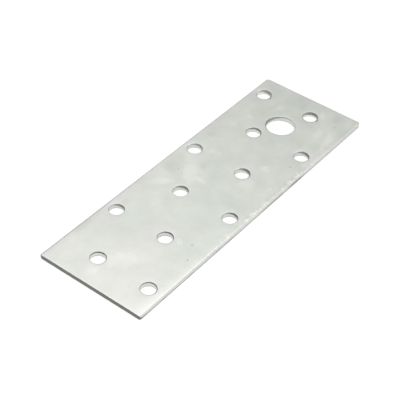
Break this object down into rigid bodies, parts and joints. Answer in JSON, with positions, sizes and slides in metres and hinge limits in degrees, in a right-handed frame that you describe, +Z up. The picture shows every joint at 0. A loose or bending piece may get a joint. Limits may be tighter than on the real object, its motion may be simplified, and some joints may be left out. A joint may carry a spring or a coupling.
{
  "type": "mending plate",
  "caption": "Flat rectangular galvanised steel strip with staggered rows of nail holes and one larger bolt hole, for joining timbers side by side or end to end.",
  "frame": {"origin": "centre of the underside", "axes": "+X along the plate towards the end with the bolt hole, +Y across it, +Z up through the side that the punches entered"},
  "size_m": [0.1188, 0.04, 0.0018],
  "materials": {
    "galvanised_steel": "zinc coated sheet, satin"
  },
  "bodies": {
    "root": {"plate": "galvanised_steel"}
  },
  "joints": []
}
